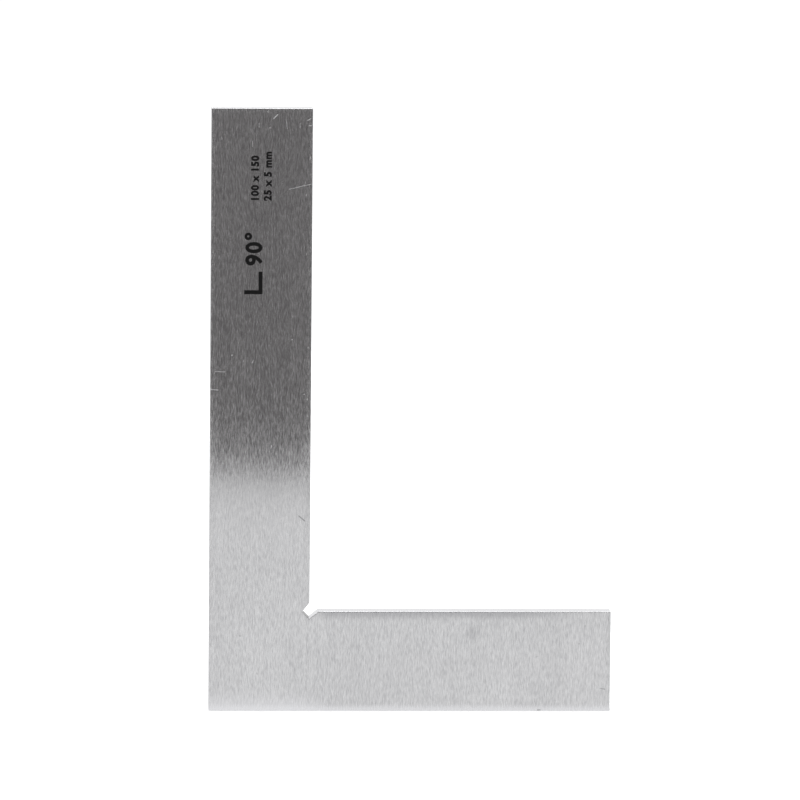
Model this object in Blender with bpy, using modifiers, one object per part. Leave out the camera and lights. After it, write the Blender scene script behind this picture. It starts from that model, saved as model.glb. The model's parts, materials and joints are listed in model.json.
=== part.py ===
"""Flat engineer's square: one ground steel plate whose two arms meet at a right angle.

Metres, +Z up. The square stands on the outer edge of its short arm, which runs along X.
The long arm rises along Z at the -X end, and the marked face looks towards -Y.
The origin is the middle of the box's base, halfway along the short arm and halfway
through the thickness.
"""

import math

import bpy
from mathutils import Vector

# Driving dimensions
LONG_ARM_LENGTH = 0.150     # outer corner to the end of the long arm
SHORT_ARM_LENGTH = 0.100    # outer corner to the end of the short arm
LONG_ARM_WIDTH = 0.025
SHORT_ARM_WIDTH = 0.025
THICKNESS = 0.005
RELIEF_MOUTH = 0.0031       # slot that clears the inner corner: its width where it opens
RELIEF_FLOOR = 0.0024       # the slot's width at its floor, which is narrower
RELIEF_DEPTH = 0.0014       # from the inner corner to the slot's floor, along the diagonal
EDGE_BREAK = 0.00015        # every edge is broken by this much, so that it doesn't cut

STEEL_COLOUR = (0.60, 0.60, 0.62, 1.0)
STEEL_ROUGHNESS = 0.30

COLLECTION_NAME = "flat_square"
NODE_NAME = "square_plate"
WELD_DISTANCE = 0.00001     # joins a curve's loose caps to its sides
BREAK_ANGLE = math.radians(30.0)


def clear_scene():
    """Remove every object that the scene starts with."""
    for old_object in list(bpy.data.objects):
        bpy.data.objects.remove(old_object, do_unlink=True)


def steel_material():
    """Ground tool steel, bare and unplated."""
    material = bpy.data.materials.new("ground_steel")
    material.use_nodes = True
    shader = material.node_tree.nodes["Principled BSDF"]
    shader.inputs["Base Color"].default_value = STEEL_COLOUR
    shader.inputs["Metallic"].default_value = 1.0
    shader.inputs["Roughness"].default_value = STEEL_ROUGHNESS
    return material


def relief_points(inner_corner):
    """Four points of the slot that runs from the inner corner into the plate at 45 degrees.

    They go from the slot's mouth on the short arm, round its floor, to its mouth on the
    long arm.
    """
    inward = Vector((-1.0, -1.0)).normalized()
    across = Vector((-1.0, 1.0)).normalized() * (RELIEF_FLOOR / 2.0)
    mouth_reach = RELIEF_MOUTH / math.sqrt(2.0)
    floor_middle = inner_corner + inward * RELIEF_DEPTH
    return [
        inner_corner + Vector((mouth_reach, 0.0)),
        floor_middle - across,
        floor_middle + across,
        inner_corner + Vector((0.0, mouth_reach)),
    ]


def plate_outline():
    """The plate's outline, anticlockwise from the outer corner, which is at (0, 0)."""
    inner_corner = Vector((LONG_ARM_WIDTH, SHORT_ARM_WIDTH))
    return [
        Vector((0.0, 0.0)),
        Vector((SHORT_ARM_LENGTH, 0.0)),
        Vector((SHORT_ARM_LENGTH, SHORT_ARM_WIDTH)),
        *relief_points(inner_corner),
        Vector((LONG_ARM_WIDTH, LONG_ARM_LENGTH)),
        Vector((0.0, LONG_ARM_LENGTH)),
    ]


def make_plate(collection):
    """Extrude the outline to the plate's thickness, stand it up and break its edges."""
    outline = plate_outline()
    curve = bpy.data.curves.new(NODE_NAME, "CURVE")
    curve.dimensions = "2D"
    curve.fill_mode = "BOTH"
    curve.extrude = THICKNESS / 2.0
    spline = curve.splines.new("POLY")
    spline.points.add(len(outline) - 1)
    for spline_point, corner in zip(spline.points, outline):
        spline_point.co = (corner.x, corner.y, 0.0, 1.0)
    spline.use_cyclic_u = True

    plate = bpy.data.objects.new(NODE_NAME, curve)
    plate.location = (-SHORT_ARM_LENGTH / 2.0, 0.0, 0.0)
    plate.rotation_euler = (math.radians(90.0), 0.0, 0.0)
    collection.objects.link(plate)
    curve.materials.append(steel_material())

    weld = plate.modifiers.new("weld_caps", "WELD")
    weld.merge_threshold = WELD_DISTANCE
    bevel = plate.modifiers.new("edge_break", "BEVEL")
    bevel.width = EDGE_BREAK
    bevel.segments = 1
    bevel.limit_method = "ANGLE"
    bevel.angle_limit = BREAK_ANGLE
    return plate


def main():
    clear_scene()
    collection = bpy.data.collections.new(COLLECTION_NAME)
    bpy.context.scene.collection.children.link(collection)
    make_plate(collection)


main()
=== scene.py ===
"""Looks of a flat engineer's square: ground steel, broken edges, a relief slot and a size mark.

Metres, +Z up. The square stands on its short arm, which runs along X. The long arm rises
along Z at the -X end, and the marked face looks towards -Y.
"""

import json
import math

import bmesh
import bpy
from mathutils import Matrix, Quaternion, Vector


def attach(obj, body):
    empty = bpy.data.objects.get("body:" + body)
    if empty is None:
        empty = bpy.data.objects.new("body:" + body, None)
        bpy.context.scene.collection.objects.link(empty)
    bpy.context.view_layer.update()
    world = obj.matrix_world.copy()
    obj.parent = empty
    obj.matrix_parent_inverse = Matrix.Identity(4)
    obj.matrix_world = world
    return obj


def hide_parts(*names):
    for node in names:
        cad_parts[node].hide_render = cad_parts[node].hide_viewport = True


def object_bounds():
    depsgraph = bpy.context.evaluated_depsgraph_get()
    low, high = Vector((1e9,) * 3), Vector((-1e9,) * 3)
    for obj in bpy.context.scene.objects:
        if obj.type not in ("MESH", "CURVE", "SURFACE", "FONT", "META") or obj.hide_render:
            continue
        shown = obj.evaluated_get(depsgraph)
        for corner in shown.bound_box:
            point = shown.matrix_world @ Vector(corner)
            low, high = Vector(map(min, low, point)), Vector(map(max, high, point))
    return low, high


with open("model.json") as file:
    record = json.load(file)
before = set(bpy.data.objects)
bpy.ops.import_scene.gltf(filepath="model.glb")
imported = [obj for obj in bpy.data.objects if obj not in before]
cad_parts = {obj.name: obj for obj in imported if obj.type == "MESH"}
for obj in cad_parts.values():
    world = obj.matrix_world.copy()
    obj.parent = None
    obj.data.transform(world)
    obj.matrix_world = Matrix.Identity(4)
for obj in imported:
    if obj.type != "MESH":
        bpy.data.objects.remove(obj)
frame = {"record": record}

bl_info = {
    "name": "Flat Steel Square",
    "version": (1, 0, 0),
    "blender": (4, 5, 0),
    "location": "View3D > Sidebar > Square",
    "description": "Models a flat steel square on its frame, with its finishes and its stage",
    "category": "Object",
}

CAD_LOW, CAD_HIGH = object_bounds()
MOUNTS = {mount["name"]: Vector(mount["pos_m"]) for mount in frame["record"]["mounts"]}
CAD_NODE = "square_plate"
BODY = "root"
BORDER_ATTRIBUTE = "border"     # 1 at a broad face's edge, 0 inside its loops

MM = 0.001
MICRON = 0.000001
FLAT = 0.999                # how closely a normal follows an axis to count as along it

# The outer corner of the marked face, which wear, painted light and shade, and marks are
# measured from
CORNER = Vector((CAD_LOW.x, CAD_LOW.y, CAD_LOW.z))


def linear(hex_colour):
    """Scene-linear RGBA of an sRGB hex colour such as #c6c6c8."""
    channels = [int(hex_colour[start:start + 2], 16) / 255.0 for start in (1, 3, 5)]
    curve = [c / 12.92 if c <= 0.04045 else ((c + 0.055) / 1.055) ** 2.4 for c in channels]
    return (*curve, 1.0)


def length_property(name, description, default):
    """A length in metres, to a hundredth of a millimetre."""
    return bpy.props.FloatProperty(
        name=name, description=description, default=default, min=0.0, precision=5,
        subtype="DISTANCE", unit="LENGTH")


def colour_property(name, description, hex_colour):
    """A colour that is written in hex."""
    return bpy.props.FloatVectorProperty(
        name=name, description=description, default=linear(hex_colour), size=4,
        min=0.0, max=1.0, subtype="COLOR")


# ---------------------------------------------------------------- settings

class SquareSizes(bpy.types.PropertyGroup):
    """Sizes of the plate and its marks."""

    long_arm_width: length_property(
        "Long arm width", "Across the long arm",
        MOUNTS["long_arm_inner_edge"].x - CAD_LOW.x)
    short_arm_width: length_property(
        "Short arm width", "Across the short arm",
        MOUNTS["short_arm_inner_edge"].z - CAD_LOW.z)
    relief_mouth: length_property(
        "Relief mouth", "Across the inner corner's slot where it opens", 3.1 * MM)
    relief_floor: length_property(
        "Relief floor", "Across the slot at its floor", 2.4 * MM)
    relief_depth: length_property(
        "Relief depth", "From the inner corner to the slot's floor", 1.4 * MM)
    edge_round: length_property(
        "Edge round", "Radius of the rubbed-down edges", 0.12 * MM)
    edge_fall: length_property(
        "Edge fall", "How far a ground face falls away at its border", 10 * MICRON)
    mark_height: length_property(
        "Mark height", "Height of the size mark's figures", 2.0 * MM)
    angle_height: length_property(
        "Angle mark height", "Height of the angle mark's figures", 4.5 * MM)
    mark_depth: length_property(
        "Mark depth", "Depth that the laser darkens", 20 * MICRON)
    mark_proud: length_property(
        "Mark stand-off", "How far the darkened skin stands proud", 6 * MICRON)


class SquareLooks(bpy.types.PropertyGroup):
    """Colours and grain of the finishes."""

    steel_light: colour_property(
        "Steel, light streaks", "Crests between the grinding lines", "#dededf")
    steel_dark: colour_property(
        "Steel, dark streaks", "Floors of the grinding lines", "#acacae")
    # Both edge tones are lighter than the faces' steel: a painted sheen for the light the narrow
    # edges catch, over their real hair lines.
    wall_light: colour_property(
        "Edge, light streaks", "Crests on the narrow ground edges", "#e6e6e9")
    wall_dark: colour_property(
        "Edge, dark streaks", "Lines on the narrow ground edges", "#cacacc")
    # The slot's tones are darker than the ground steel: painted shade inside the slot, over its
    # real cutter lines.
    slot_light: colour_property(
        "Slot, light", "Crests of the milled slot", "#b0afb0")
    slot_dark: colour_property(
        "Slot, dark", "Cutter lines in the milled slot", "#8a898a")
    mark_black: colour_property(
        "Mark", "Oxide that the laser leaves", "#070707")
    mark_grey: colour_property(
        "Mark, thin", "Where the oxide is thin", "#1b1b1c")
    streak_width: length_property(
        "Streak width", "Across one grinding streak", 0.17 * MM)
    streak_length: length_property(
        "Streak length", "Along one grinding streak", 1.4 * MM)


class SquareStage(bpy.types.PropertyGroup):
    """Camera, table and light."""

    camera_distance: length_property(
        "Camera distance", "From the lens to the point it looks at", 1.5)
    camera_azimuth: bpy.props.FloatProperty(
        name="Camera azimuth", description="0 looks along +Y, 90 along -X",
        default=math.radians(-2.9), subtype="ANGLE", unit="ROTATION")
    camera_elevation: bpy.props.FloatProperty(
        name="Camera elevation", description="Above the horizon",
        default=math.radians(7.16), subtype="ANGLE", unit="ROTATION")
    camera_roll: bpy.props.FloatProperty(
        name="Camera roll", description="The camera's lean to its left",
        default=math.radians(0.53), subtype="ANGLE", unit="ROTATION")
    camera_lens: bpy.props.FloatProperty(
        name="Lens", description="Focal length on a 36 mm sensor, in millimetres",
        default=272.6, min=1.0)
    table_depth: length_property(
        "Table depth", "From the square to the table's front edge", 0.428)
    table_colour: colour_property("Table", "White laminate", "#f4f4f4")
    room_grey: bpy.props.FloatProperty(
        name="Room", description="Brightness of the dark room past the table's edge",
        default=0.202, min=0.0)


# ---------------------------------------------------------------- helpers

def deselect():
    """Start a step with nothing selected."""
    if bpy.context.object and bpy.context.object.mode != "OBJECT":
        bpy.ops.object.mode_set(mode="OBJECT")
    bpy.ops.object.select_all(action="DESELECT")


def activate(piece):
    """Make one piece the only selected one, and active."""
    deselect()
    piece.select_set(True)
    bpy.context.view_layer.objects.active = piece


def apply_place(piece):
    """Put a piece's location, rotation and scale into its mesh."""
    activate(piece)
    bpy.ops.object.transform_apply(location=True, rotation=True, scale=True)


def apply_modifiers(piece):
    """Apply a piece's modifiers in order."""
    activate(piece)
    for modifier in list(piece.modifiers):
        bpy.ops.object.modifier_apply(modifier=modifier.name)


def add_box(name, low, high):
    """A box between two corners, with its place in its mesh."""
    deselect()
    low = Vector(low)
    high = Vector(high)
    bpy.ops.mesh.primitive_cube_add(size=1.0, location=(low + high) / 2.0, scale=high - low)
    box = bpy.context.object
    box.name = name
    apply_place(box)
    return box


def select_faces(piece, wanted):
    """In edit mode, select only the faces that the test wants."""
    mesh = bmesh.from_edit_mesh(piece.data)
    for face in mesh.faces:
        face.select_set(False)
    for face in mesh.faces:
        if wanted(face):
            face.select_set(True)
    mesh.select_flush_mode()
    bmesh.update_edit_mesh(piece.data)


def add_node(tree, kind, inputs=None, **settings):
    """Add a shader node, set its options, and set or link its inputs."""
    node = tree.nodes.new(kind)
    for option, value in settings.items():
        setattr(node, option, value)
    for socket, value in (inputs or {}).items():
        if isinstance(value, bpy.types.NodeSocket):
            tree.links.new(value, node.inputs[socket])
        else:
            node.inputs[socket].default_value = value
    return node


def new_material(name):
    """An empty node material with its output, and its tree."""
    material = bpy.data.materials.new(name)
    material.use_nodes = True
    material.node_tree.nodes.clear()
    return material, material.node_tree


def from_corner(across, up):
    """A point of the marked face, in millimetres from the outer corner."""
    return CORNER + Vector((across * MM, 0.0, up * MM))


# ---------------------------------------------------------------- finishes

# Hair scratches and nicks on the marked face: start and end in millimetres from the outer
# corner, width in millimetres, strength. A light one is rougher, and its pale colour is a
# painted glint; a dark one is drawn darker.
LIGHT_SCRATCHES = (
    ((15.3, 147.5), (16.3, 148.5), 0.13, 0.9),
    ((13.9, 149.2), (14.0, 149.2), 0.24, 0.4),
    ((23.7, 147.1), (24.4, 147.5), 0.18, 0.6),
    ((24.1, 145.8), (24.5, 145.8), 0.18, 0.55),
    ((21.8, 145.2), (21.8, 146.3), 0.12, 0.35),
    ((18.3, 147.3), (18.7, 145.0), 0.10, 0.35),
    ((14.4, 145.2), (14.6, 145.2), 0.18, 0.3),
    ((11.7, 145.3), (11.7, 146.3), 0.12, 0.35),
    ((10.1, 140.6), (10.1, 141.8), 0.12, 0.35),
    ((2.6, 142.3), (2.6, 142.9), 0.20, 0.2),
    ((24.4, 137.7), (24.4, 138.1), 0.16, 0.35),
    ((19.2, 130.1), (24.6, 131.4), 0.10, 0.6),
    ((23.5, 128.5), (23.5, 128.9), 0.14, 0.3),
    ((19.9, 92.8), (20.3, 92.9), 0.14, 0.35),
    ((24.1, 90.9), (24.2, 90.9), 0.16, 0.35),
    ((5.3, 88.9), (5.5, 89.0), 0.18, 0.45),
    ((10.3, 87.0), (10.7, 87.7), 0.12, 0.35),
    ((8.2, 87.4), (8.3, 87.6), 0.14, 0.3),
    ((1.4, 84.9), (3.6, 84.8), 0.12, 0.35),
    ((0.1, 80.4), (2.0, 80.3), 0.14, 0.45),
    ((23.2, 79.2), (23.3, 79.3), 0.18, 0.35),
    ((24.0, 78.0), (24.1, 78.1), 0.18, 0.4),
    ((15.2, 66.0), (15.3, 66.4), 0.18, 0.4),
)
DARK_SCRATCHES = (
    ((22.2, 48.9), (23.6, 47.7), 0.26, 0.6),
    ((7.7, 18.9), (7.9, 18.8), 0.35, 0.3),
    ((12.0, 9.5), (12.1, 9.3), 0.35, 0.3),
    ((97.6, 5.7), (98.7, 5.5), 0.26, 0.4),
    ((92.0, 16.9), (92.3, 17.0), 0.25, 0.3),
    ((93.5, 21.2), (93.6, 21.5), 0.25, 0.3),
    ((82.1, 0.2), (82.5, 0.2), 0.45, 0.5),
    ((81.5, 13.6), (81.7, 13.8), 0.30, 0.25),
)


def scratch_mask(tree, place, scratches):
    """1 on a scratch and 0 off it: the distance from each point to each scratch's line."""
    mask = None
    for start, end, width, strength in scratches:
        first = from_corner(*start)
        along = from_corner(*end) - first
        offset = add_node(
            tree, "ShaderNodeVectorMath", {0: place, 1: first}, operation="SUBTRACT")
        run = add_node(
            tree, "ShaderNodeVectorMath",
            {0: offset.outputs["Vector"], 1: along.normalized()}, operation="DOT_PRODUCT")
        run = add_node(
            tree, "ShaderNodeClamp",
            {"Value": run.outputs["Value"], "Min": 0.0, "Max": along.length})
        nearest = add_node(
            tree, "ShaderNodeVectorMath",
            {0: along.normalized(), "Scale": run.outputs["Result"]}, operation="SCALE")
        gap = add_node(
            tree, "ShaderNodeVectorMath",
            {0: offset.outputs["Vector"], 1: nearest.outputs["Vector"]}, operation="DISTANCE")
        line = add_node(
            tree, "ShaderNodeMapRange",
            {"Value": gap.outputs["Value"], "From Min": 0.0, "From Max": width * MM,
             "To Min": strength, "To Max": 0.0},
            interpolation_type="SMOOTHERSTEP")
        if mask is None:
            mask = line.outputs["Result"]
        else:
            both = add_node(
                tree, "ShaderNodeMath", {0: mask, 1: line.outputs["Result"]},
                operation="MAXIMUM")
            mask = both.outputs["Value"]
    return mask


def grain(tree, place, cell, detail):
    """Noise whose cells have the given size along X, Y and Z, in metres."""
    stretched = add_node(
        tree, "ShaderNodeMapping",
        {"Vector": place, "Scale": tuple(1.0 / size for size in cell)})
    return add_node(
        tree, "ShaderNodeTexNoise",
        {"Vector": stretched.outputs["Vector"], "Scale": 1.0, "Detail": detail,
         "Roughness": 0.55}).outputs["Fac"]


def weighted(tree, base, parts):
    """A base value plus each pattern's swing about its middle, times its weight."""
    total = base
    for pattern, weight in parts:
        centred = add_node(
            tree, "ShaderNodeMath", {0: pattern, 1: 0.5}, operation="SUBTRACT")
        total = add_node(
            tree, "ShaderNodeMath", {0: centred.outputs["Value"], 1: weight, 2: total},
            operation="MULTIPLY_ADD").outputs["Value"]
    return total


def fade(tree, value, full, gone):
    """1 up to one value, falling smoothly to 0 at another, on either side."""
    return add_node(
        tree, "ShaderNodeMapRange",
        {"Value": value, "From Min": full, "From Max": gone, "To Min": 1.0, "To Max": 0.0},
        interpolation_type="SMOOTHSTEP").outputs["Result"]


def product(tree, first, second):
    """Two values multiplied."""
    return add_node(
        tree, "ShaderNodeMath", {0: first, 1: second}, operation="MULTIPLY").outputs["Value"]


def mixed(tree, factor, first, second):
    """Two colours mixed."""
    node = add_node(
        tree, "ShaderNodeMix",
        {"Factor": factor, 6: first, 7: second}, data_type="RGBA", blend_type="MIX")
    return node.outputs[2]


def ground_face_steel(looks, sizes):
    """Hardened tool steel, ground on a belt along the long arm.

    The grinding lines run up the long arm and straight through the corner. They make a
    reflection wide across the lines and sharp along them, so the face mirrors the table's
    edge as a soft level line, with fine streaks a millimetre or two long on it.
    """
    material, tree = new_material("ground_tool_steel_face")
    place = add_node(tree, "ShaderNodeTexCoord").outputs["Object"]
    axes = add_node(tree, "ShaderNodeSeparateXYZ", {"Vector": place})
    across = axes.outputs["X"]
    up = axes.outputs["Z"]

    width = looks.streak_width
    length = looks.streak_length
    fine = grain(tree, place, (width, width, length), 3.0)
    long_lines = grain(tree, place, (2.5 * width, 2.5 * width, 25.0 * length), 2.0)
    clouds = grain(tree, place, (14.0 * MM, 14.0 * MM, 24.0 * MM), 2.0)

    shade = weighted(tree, 0.5, ((fine, 1.95), (long_lines, 0.36), (clouds, 0.3)))
    colour = mixed(tree, shade, looks.steel_dark, looks.steel_light)

    # Below the short arm's inner edge a darker stripe is painted: a painted reflection of the
    # dark room, as the rolled edge would mirror it.
    band_left = CORNER.x + 30.0 * MM
    band_right = CORNER.x + 74.0 * MM
    below_edge = add_node(
        tree, "ShaderNodeMath", {0: CORNER.z + sizes.short_arm_width, 1: up},
        operation="SUBTRACT").outputs["Value"]
    painted_reflection_band = fade(tree, below_edge, 0.4 * MM, 2.6 * MM)
    painted_reflection_band = product(tree, painted_reflection_band, fade(tree, across, band_right, band_right + 22.0 * MM))
    painted_reflection_band = product(tree, painted_reflection_band, fade(tree, across, band_left, band_left - 4.0 * MM))
    above = fade(tree, up, CORNER.z + sizes.short_arm_width, CORNER.z + 25.3 * MM)
    painted_reflection_band = product(tree, product(tree, painted_reflection_band, above), 0.42)
    colour = mixed(tree, painted_reflection_band, colour, linear("#8c8c90"))

    # A painted highlight lightens the face along its outer edge, higher up at the corner.
    painted_edge_highlight = fade(tree, up, CORNER.z + 0.1 * MM, CORNER.z + 2.0 * MM)
    colour = mixed(tree, product(tree, painted_edge_highlight, 0.72), colour, linear("#e4e4e7"))
    # The taller patch at the corner is painted highlight as well.
    rubbed = product(
        tree, fade(tree, up, CORNER.z + 0.5 * MM, CORNER.z + 6.0 * MM),
        fade(tree, across, CORNER.x + 21.0 * MM, CORNER.x + 32.0 * MM))
    colour = mixed(tree, product(tree, rubbed, 0.42), colour, linear("#e4e4e7"))

    # A thumb-sized smear of old oil on the short arm.
    smear_offset = add_node(
        tree, "ShaderNodeVectorMath",
        {0: place, 1: from_corner(65.6, 19.4)}, operation="DISTANCE").outputs["Value"]
    smear_edge = weighted(tree, smear_offset, ((fine, 3.0 * MM), (clouds, 2.0 * MM)))
    smear = fade(tree, smear_edge, 0.2 * MM, 2.6 * MM)
    colour = mixed(tree, product(tree, smear, 0.32), colour, linear("#98989b"))

    scratches = scratch_mask(tree, place, LIGHT_SCRATCHES)
    nicks = scratch_mask(tree, place, DARK_SCRATCHES)
    # The light scratches' pale colour is a painted glint over their real roughness.
    colour = mixed(tree, scratches, colour, linear("#f0f0f2"))
    colour = mixed(tree, nicks, colour, linear("#5a5a5c"))

    # Rougher lines and the handled border scatter more, so they show light in a dark mirror.
    border = add_node(
        tree, "ShaderNodeAttribute", attribute_name=BORDER_ATTRIBUTE).outputs["Fac"]
    roughness = weighted(tree, 0.185, ((fine, 0.32), (long_lines, 0.06)))
    for wear, share in ((border, 0.11), (scratches, 0.65)):
        roughness = add_node(
            tree, "ShaderNodeMath", {0: wear, 1: share, 2: roughness},
            operation="MULTIPLY_ADD").outputs["Value"]

    # A scratch's torn burr scatters light as a pale, matt surface does.
    bare = add_node(
        tree, "ShaderNodeMath", {0: scratches, 1: -0.6, 2: 1.0},
        operation="MULTIPLY_ADD").outputs["Value"]
    height = weighted(tree, 0.0, ((fine, 1.0), (long_lines, 0.5)))
    height = add_node(
        tree, "ShaderNodeMath", {0: scratches, 1: -1.0, 2: height},
        operation="MULTIPLY_ADD").outputs["Value"]
    bump = add_node(
        tree, "ShaderNodeBump", {"Height": height, "Strength": 1.0, "Distance": 4 * MICRON})
    tangent = add_node(tree, "ShaderNodeTangent", direction_type="RADIAL", axis="Z")
    shader = add_node(
        tree, "ShaderNodeBsdfPrincipled",
        {"Base Color": colour, "Metallic": bare, "Roughness": roughness,
         "Anisotropic": 1.0, "Tangent": tangent.outputs["Tangent"],
         "Normal": bump.outputs["Normal"]})
    add_node(tree, "ShaderNodeOutputMaterial", {"Surface": shader.outputs["BSDF"]})
    return material


def ground_wall_steel(looks):
    """The narrow edges of the same steel, ground along their length.

    Finer than the faces and nearly mirror-flat along each edge, with hair lines that run
    the length of the edge.
    """
    material, tree = new_material("ground_tool_steel_edge")
    place = add_node(tree, "ShaderNodeTexCoord").outputs["Object"]
    lines = grain(tree, place, (9.0 * MM, 0.22 * MM, 9.0 * MM), 3.0)
    clouds = grain(tree, place, (11.0 * MM, 3.0 * MM, 11.0 * MM), 2.0)
    shade = weighted(tree, 0.5, ((lines, 1.3), (clouds, 0.6)))
    # Painted sheen: both tones are lighter than the faces' steel; the lines between them are
    # real.
    colour = mixed(tree, shade, looks.wall_dark, looks.wall_light)
    roughness = weighted(tree, 0.22, ((lines, 0.08),))
    bump = add_node(
        tree, "ShaderNodeBump", {"Height": lines, "Strength": 1.0, "Distance": 3 * MICRON})
    shader = add_node(
        tree, "ShaderNodeBsdfPrincipled",
        {"Base Color": colour, "Metallic": 1.0, "Roughness": roughness,
         "Normal": bump.outputs["Normal"]})
    add_node(tree, "ShaderNodeOutputMaterial", {"Surface": shader.outputs["BSDF"]})
    return material


def milled_slot_steel_painted_shade(looks):
    """The relief slot's walls, left as the cutter made them: duller, with cross lines. Their
    darker colour is painted shade inside the slot.
    """
    material, tree = new_material("milled_tool_steel_slot_painted_shade")
    place = add_node(tree, "ShaderNodeTexCoord").outputs["Object"]
    lines = grain(tree, place, (0.25 * MM, 4.0 * MM, 0.25 * MM), 2.0)
    clouds = grain(tree, place, (1.2 * MM, 1.2 * MM, 1.2 * MM), 2.0)
    shade = weighted(tree, 0.5, ((lines, 1.6), (clouds, 1.0)))
    # Painted shade: both tones are darker than the ground steel; the cutter lines are real.
    colour = mixed(tree, shade, looks.slot_dark, looks.slot_light)
    roughness = weighted(tree, 0.38, ((lines, 0.15),))
    bump = add_node(
        tree, "ShaderNodeBump", {"Height": lines, "Strength": 1.0, "Distance": 15 * MICRON})
    shader = add_node(
        tree, "ShaderNodeBsdfPrincipled",
        {"Base Color": colour, "Metallic": 1.0, "Roughness": roughness,
         "Normal": bump.outputs["Normal"]})
    add_node(tree, "ShaderNodeOutputMaterial", {"Surface": shader.outputs["BSDF"]})
    return material


def laser_black(looks):
    """Oxide that a marking laser leaves in steel: matt, nearly black, thinner in places."""
    material, tree = new_material("laser_black_oxide")
    place = add_node(tree, "ShaderNodeTexCoord").outputs["Object"]
    specks = grain(tree, place, (0.18 * MM, 0.18 * MM, 0.5 * MM), 3.0)
    colour = mixed(
        tree, weighted(tree, 0.3, ((specks, 1.6),)), looks.mark_black, looks.mark_grey)
    roughness = weighted(tree, 0.6, ((specks, 0.3),))
    bump = add_node(
        tree, "ShaderNodeBump", {"Height": specks, "Strength": 1.0, "Distance": 4 * MICRON})
    shader = add_node(
        tree, "ShaderNodeBsdfPrincipled",
        {"Base Color": colour, "Metallic": 0.0, "Roughness": roughness,
         "Specular IOR Level": 0.15, "Normal": bump.outputs["Normal"]})
    add_node(tree, "ShaderNodeOutputMaterial", {"Surface": shader.outputs["BSDF"]})
    return material


# ---------------------------------------------------------------- the plate

def cut_relief(plate, sizes):
    """Cut the slot that clears the inner corner, at 45 degrees and narrower at its floor."""
    inner_corner = Vector((
        CAD_LOW.x + sizes.long_arm_width, 0.0, CAD_LOW.z + sizes.short_arm_width))
    half_mouth = sizes.relief_mouth / 2.0
    half_floor = sizes.relief_floor / 2.0
    # The sides cross the arms' edges half a mouth out, and keep their slant past that.
    reach = 2.0 * half_mouth
    widening = (half_mouth - half_floor) / (half_mouth + sizes.relief_depth)
    half_end = half_floor + widening * (reach + sizes.relief_depth)
    through = CAD_HIGH.y - CAD_LOW.y
    cutter = add_box(
        "relief_cutter",
        (-sizes.relief_depth, -through, -half_floor),
        (reach, through, half_floor))
    bpy.ops.object.mode_set(mode="EDIT")
    bpy.ops.mesh.select_mode(type="FACE")
    select_faces(cutter, lambda face: face.normal.x > FLAT)
    bpy.ops.transform.resize(value=(1.0, 1.0, half_end / half_floor))
    bpy.ops.object.mode_set(mode="OBJECT")
    cutter.matrix_world = (
        Matrix.Translation(inner_corner) @ Matrix.Rotation(math.radians(-45.0), 4, "Y"))
    apply_place(cutter)
    activate(plate)
    cut = plate.modifiers.new("relief", "BOOLEAN")
    cut.object = cutter
    cut.operation = "DIFFERENCE"
    apply_modifiers(plate)
    bpy.data.objects.remove(cutter, do_unlink=True)


def fall_away(plate, sizes):
    """Ring each broad face with loops that fall towards its border, as grinding leaves it."""
    rings = ((0.45 * MM, 0.60), (0.8 * MM, 0.28), (1.3 * MM, 0.12), (0.3 * MM, 0.0))
    activate(plate)
    bpy.ops.object.mode_set(mode="EDIT")
    bpy.ops.mesh.select_mode(type="FACE")
    select_faces(plate, lambda face: abs(face.normal.y) > FLAT)
    for width, share in rings:
        bpy.ops.mesh.inset(
            thickness=width, depth=sizes.edge_fall * share, use_even_offset=True)
    bpy.ops.object.mode_set(mode="OBJECT")


def hold_walls(plate):
    """Ring each narrow wall with a close loop, so that it stays flat when shaded smooth."""
    activate(plate)
    bpy.ops.object.mode_set(mode="EDIT")
    select_faces(plate, lambda face: abs(face.normal.y) < 0.1)
    bpy.ops.mesh.inset(thickness=0.4 * MM, depth=0.0, use_individual=True)
    bpy.ops.object.mode_set(mode="OBJECT")


def round_edges(plate, sizes):
    """Break the sharp edges with a small round and keep the flats' own normals."""
    bevel = plate.modifiers.new("edge_round", "BEVEL")
    bevel.width = sizes.edge_round
    bevel.segments = 3
    bevel.limit_method = "ANGLE"
    bevel.angle_limit = math.radians(30.0)
    activate(plate)
    bpy.ops.object.shade_smooth()
    flats = plate.modifiers.new("flats", "WEIGHTED_NORMAL")
    flats.mode = "FACE_AREA"
    apply_modifiers(plate)


def finish_faces(plate, sizes, looks):
    """Give each face its finish by the way it looks and where it lies."""
    for finish in (
            ground_face_steel(looks, sizes), ground_wall_steel(looks), milled_slot_steel_painted_shade(looks)):
        plate.data.materials.append(finish)
    inner_corner = Vector((
        CAD_LOW.x + sizes.long_arm_width, CAD_LOW.z + sizes.short_arm_width))
    floor_way = Vector((1.0, 0.0, 1.0)).normalized()
    for face in plate.data.polygons:
        spot = Vector((face.center.x, face.center.z))
        in_slot = (spot - inner_corner).length < sizes.relief_mouth
        if abs(face.normal.y) > 0.8:
            face.material_index = 0
        elif in_slot and face.normal.dot(floor_way) > 0.8:
            face.material_index = 2
        else:
            face.material_index = 1


def note_border(plate, sizes):
    """Store how near each point of the broad faces is to its border, for the finish."""
    border = plate.data.attributes.new(BORDER_ATTRIBUTE, "FLOAT", "POINT")
    for vertex, note in zip(plate.data.vertices, border.data):
        note.value = min(1.0, (CAD_HIGH.y - abs(vertex.co.y)) / sizes.edge_fall)


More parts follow.
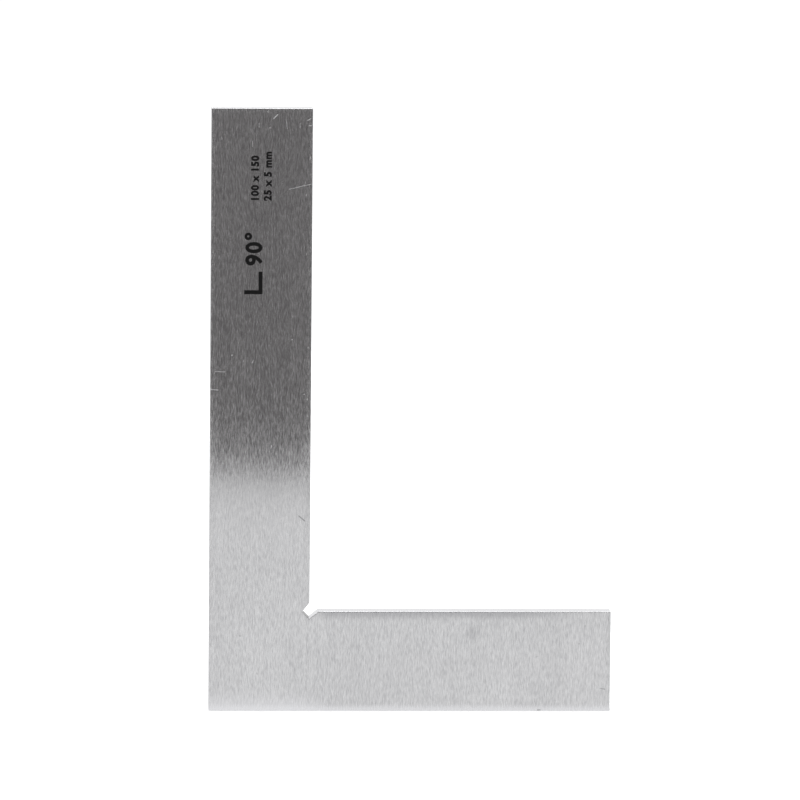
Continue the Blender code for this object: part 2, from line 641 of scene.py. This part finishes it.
class SQUARE_OT_plate(bpy.types.Operator):
    """Model the L-shaped plate and give it its ground finishes"""

    bl_idname = "square.plate"
    bl_label = "Model Plate"

    def execute(self, context):
        sizes = context.scene.square_sizes
        looks = context.scene.square_looks
        arm_right = CAD_LOW.x + sizes.long_arm_width
        arm_top = CAD_LOW.z + sizes.short_arm_width
        fall = Vector((0.0, sizes.edge_fall, 0.0))
        low = CAD_LOW + fall
        high = CAD_HIGH - fall
        plate = add_box("ground_square", low, (arm_right, high.y, high.z))

        bpy.ops.object.mode_set(mode="EDIT")
        bpy.ops.mesh.select_all(action="SELECT")
        bpy.ops.mesh.bisect(plane_co=(0.0, 0.0, arm_top), plane_no=(0.0, 0.0, 1.0))
        bpy.ops.mesh.select_mode(type="FACE")
        select_faces(
            plate,
            lambda face: face.normal.x > FLAT and face.calc_center_median().z < arm_top)
        bpy.ops.mesh.extrude_region_move(
            TRANSFORM_OT_translate={"value": (CAD_HIGH.x - arm_right, 0.0, 0.0)})
        bpy.ops.mesh.select_all(action="SELECT")
        bpy.ops.mesh.dissolve_limited(angle_limit=math.radians(0.5))
        bpy.ops.object.mode_set(mode="OBJECT")

        cut_relief(plate, sizes)
        fall_away(plate, sizes)
        hold_walls(plate)
        round_edges(plate, sizes)
        finish_faces(plate, sizes, looks)
        note_border(plate, sizes)
        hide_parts(CAD_NODE)
        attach(plate, BODY)
        return {"FINISHED"}


# ---------------------------------------------------------------- the marks

def add_mark(name, words, weight, height, line_left, line_start, sizes, looks):
    """Figures that read up the long arm, from a line's start and its figures' heads.

    weight is how far the figures are thickened, as a share of their size. line_left is where
    the figures' heads lie and line_start where the line begins, in millimetres from the outer
    corner.
    """
    deselect()
    bpy.ops.object.text_add()
    mark = bpy.context.object
    mark.name = name
    mark.data.body = words
    mark.data.size = 1.0
    mark.data.offset = weight
    mark.data.space_character = 1.12
    mark.data.resolution_u = 4
    mark.data.extrude = 0.5
    bpy.ops.object.convert(target="MESH")
    corners = [vertex.co for vertex in mark.data.vertices]
    foot = min(corner.y for corner in corners)
    left = min(corner.x for corner in corners)
    tall = max(corner.y for corner in corners) - foot
    factor = height / tall
    skin = sizes.mark_depth + sizes.mark_proud
    middle_y = CAD_LOW.y + (sizes.mark_depth - sizes.mark_proud) / 2.0
    head = CORNER.x + line_left * MM
    upright = Matrix((
        (0.0, -1.0, 0.0, head + height),
        (0.0, 0.0, -1.0, middle_y),
        (1.0, 0.0, 0.0, CORNER.z + line_start * MM),
        (0.0, 0.0, 0.0, 1.0)))
    flat = Matrix.Diagonal((factor, factor, skin, 1.0))
    mark.matrix_world = upright @ flat @ Matrix.Translation((-left, -foot, 0.0))
    apply_place(mark)
    mark.data.materials.append(looks_black(looks))
    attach(mark, BODY)
    return mark


def add_angle_sign(name, height, line_left, line_start, sizes, looks):
    """A plain right-angle sign, a quarter wider than it is tall, on the figures' line."""
    bar = 0.22 * height
    head = CORNER.x + line_left * MM
    foot = head + height
    start = CORNER.z + line_start * MM
    front = CAD_LOW.y - sizes.mark_proud
    back = CAD_LOW.y + sizes.mark_depth
    stem = add_box("angle_sign_stem", (head, front, start), (foot - bar, back, start + bar))
    sign = add_box(name, (foot - bar, front, start), (foot, back, start + 1.25 * height))
    stem.select_set(True)
    bpy.ops.object.join()
    sign.data.materials.append(looks_black(looks))
    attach(sign, BODY)
    return sign


def looks_black(looks):
    """One black finish that all marks share."""
    made = bpy.data.materials.get("laser_black_oxide")
    return made or laser_black(looks)


class SQUARE_OT_marks(bpy.types.Operator):
    """Mark the arms' lengths, their section and the angle on the long arm"""

    bl_idname = "square.marks"
    bl_label = "Mark Sizes"

    def execute(self, context):
        sizes = context.scene.square_sizes
        looks = context.scene.square_looks
        small = sizes.mark_height
        large = sizes.angle_height
        add_mark("arm_length_mark", "100 x 150", 0.05, small, 9.8, 127.4, sizes, looks)
        add_mark("section_mark", "25 x 5 mm", 0.05, small, 12.95, 127.2, sizes, looks)
        add_angle_sign("angle_sign", large, 8.3, 104.1, sizes, looks)
        add_mark("angle_mark", "90°", 0.035, large, 8.3, 111.2, sizes, looks)
        return {"FINISHED"}


# ---------------------------------------------------------------- the stage

def table_material(colour):
    """White laminate that the camera and the steel's mirror both see as white.

    It stays a diffuse surface, so that the square's shadow shows on it, with a little light
    of its own for the camera, the mirror and anything clear.
    """
    material, tree = new_material("white_laminate_table")
    path = add_node(tree, "ShaderNodeLightPath")
    seen = add_node(
        tree, "ShaderNodeMath",
        {0: path.outputs["Is Camera Ray"], 1: path.outputs["Is Transmission Ray"]},
        operation="MAXIMUM")
    own_light = add_node(
        tree, "ShaderNodeEmission",
        {"Color": (1.0, 1.0, 1.0, 1.0), "Strength": product(tree, seen.outputs["Value"], 0.30)})
    lit = add_node(tree, "ShaderNodeBsdfDiffuse", {"Color": colour})
    both = add_node(
        tree, "ShaderNodeAddShader", {0: lit.outputs["BSDF"], 1: own_light.outputs["Emission"]})
    white = add_node(tree, "ShaderNodeEmission", {"Color": (1.0, 1.0, 1.0, 1.0), "Strength": 1.0})
    surface = add_node(
        tree, "ShaderNodeMixShader",
        {0: path.outputs["Is Glossy Ray"], 1: both.outputs["Shader"],
         2: white.outputs["Emission"]})
    add_node(tree, "ShaderNodeOutputMaterial", {"Surface": surface.outputs["Shader"]})
    return material


def dark_room_material(grey):
    """The unlit room in front of the table, which only the steel's mirror shows."""
    material, tree = new_material("dark_room")
    glow = add_node(
        tree, "ShaderNodeEmission", {"Color": (1.0, 0.96, 0.957, 1.0), "Strength": grey})
    add_node(tree, "ShaderNodeOutputMaterial", {"Surface": glow.outputs["Emission"]})
    return material


def plain_world():
    """White studio walls all round."""
    world = bpy.data.worlds.new("studio")
    bpy.context.scene.world = world
    world.use_nodes = True
    tree = world.node_tree
    tree.nodes.clear()
    path = add_node(tree, "ShaderNodeLightPath")
    seen = add_node(
        tree, "ShaderNodeMath",
        {0: path.outputs["Is Camera Ray"], 1: path.outputs["Is Glossy Ray"]},
        operation="MAXIMUM")
    seen = add_node(
        tree, "ShaderNodeMath",
        {0: seen.outputs["Value"], 1: path.outputs["Is Transmission Ray"]},
        operation="MAXIMUM")
    strength = add_node(
        tree, "ShaderNodeMapRange",
        {"Value": seen.outputs["Value"], "To Min": 0.85, "To Max": 1.0})
    sky = add_node(
        tree, "ShaderNodeBackground",
        {"Color": (1.0, 1.0, 1.0, 1.0), "Strength": strength.outputs["Result"]})
    add_node(tree, "ShaderNodeOutputWorld", {"Surface": sky.outputs["Background"]})


def add_panel_light(name, place, aim, size, watts):
    """A soft box that looks at a point."""
    light = bpy.data.lights.new(name, "AREA")
    light.shape = "RECTANGLE"
    light.size, light.size_y = size
    light.energy = watts
    lamp = bpy.data.objects.new(name, light)
    lamp.location = place
    lamp.rotation_mode = "QUATERNION"
    lamp.rotation_quaternion = (Vector(aim) - Vector(place)).to_track_quat("-Z", "Y")
    bpy.context.scene.collection.objects.link(lamp)


class SQUARE_OT_stage(bpy.types.Operator):
    """Set the white table, the dark room in front of it, and the soft light"""

    bl_idname = "square.stage"
    bl_label = "Set Stage"

    def execute(self, context):
        stage = context.scene.square_stage
        floor_gap = 0.05 * MM
        half_width = 1.6
        back_depth = 3.5
        table = add_box(
            "table",
            (-half_width, -stage.table_depth, -0.02),
            (half_width, back_depth, CAD_LOW.z - floor_gap))
        table.data.materials.append(table_material(stage.table_colour))

        wall_gap = 0.01
        room = add_box(
            "dark_room_wall",
            (-0.34, -stage.table_depth - wall_gap - 0.01, -0.9),
            (0.34, -stage.table_depth - wall_gap, 1.1))
        room.data.materials.append(dark_room_material(stage.room_grey))
        room.visible_camera = False
        room.visible_diffuse = False
        room.visible_shadow = False
        room.visible_transmission = False

        plain_world()
        middle = (CAD_LOW + CAD_HIGH) / 2.0
        add_panel_light("top_soft_box", (-0.25, 0.15, 1.1), middle, (0.9, 0.9), 9.0)
        return {"FINISHED"}


class SQUARE_OT_camera(bpy.types.Operator):
    """Place the camera"""

    bl_idname = "square.camera"
    bl_label = "Place Camera"

    def execute(self, context):
        stage = context.scene.square_stage
        middle = (CAD_LOW + CAD_HIGH) / 2.0
        aim = Vector((middle.x - 2.9 * MM, middle.y, middle.z + 2.63 * MM))
        azimuth = stage.camera_azimuth
        elevation = stage.camera_elevation
        back = Vector((
            math.sin(azimuth) * math.cos(elevation),
            -math.cos(azimuth) * math.cos(elevation),
            math.sin(elevation)))
        lens = bpy.data.cameras.new("camera")
        lens.lens = stage.camera_lens
        lens.sensor_width = 36.0
        camera = bpy.data.objects.new("camera", lens)
        camera.location = aim + back * stage.camera_distance
        camera.rotation_mode = "QUATERNION"
        lean = Quaternion((0.0, 0.0, 1.0), stage.camera_roll)
        camera.rotation_quaternion = (-back).to_track_quat("-Z", "Y") @ lean
        context.scene.collection.objects.link(camera)
        context.scene.camera = camera
        context.scene.view_settings.view_transform = "Standard"
        return {"FINISHED"}


# ---------------------------------------------------------------- the panel

class SQUARE_PT_panel(bpy.types.Panel):
    """Lists the square's settings and its steps"""

    bl_idname = "SQUARE_PT_panel"
    bl_label = "Flat Steel Square"
    bl_space_type = "VIEW_3D"
    bl_region_type = "UI"
    bl_category = "Square"

    def draw(self, context):
        layout = self.layout
        for group in ("square_sizes", "square_looks", "square_stage"):
            settings = getattr(context.scene, group)
            box = layout.box()
            for name in settings.__annotations__:
                box.prop(settings, name)
        for step in STEPS:
            layout.operator(step.bl_idname)


GROUPS = {
    "square_sizes": SquareSizes,
    "square_looks": SquareLooks,
    "square_stage": SquareStage,
}
STEPS = (SQUARE_OT_camera, SQUARE_OT_plate, SQUARE_OT_marks, SQUARE_OT_stage)


def register():
    for name, group in GROUPS.items():
        bpy.utils.register_class(group)
        setattr(bpy.types.Scene, name, bpy.props.PointerProperty(type=group))
    for step in STEPS:
        bpy.utils.register_class(step)
    bpy.utils.register_class(SQUARE_PT_panel)


def unregister():
    bpy.utils.unregister_class(SQUARE_PT_panel)
    for step in reversed(STEPS):
        bpy.utils.unregister_class(step)
    for name, group in reversed(list(GROUPS.items())):
        delattr(bpy.types.Scene, name)
        bpy.utils.unregister_class(group)


def main():
    register()
    bpy.ops.square.camera()
    bpy.ops.square.plate()
    bpy.ops.square.marks()
    bpy.ops.square.stage()


if __name__ == "__main__":
    main()
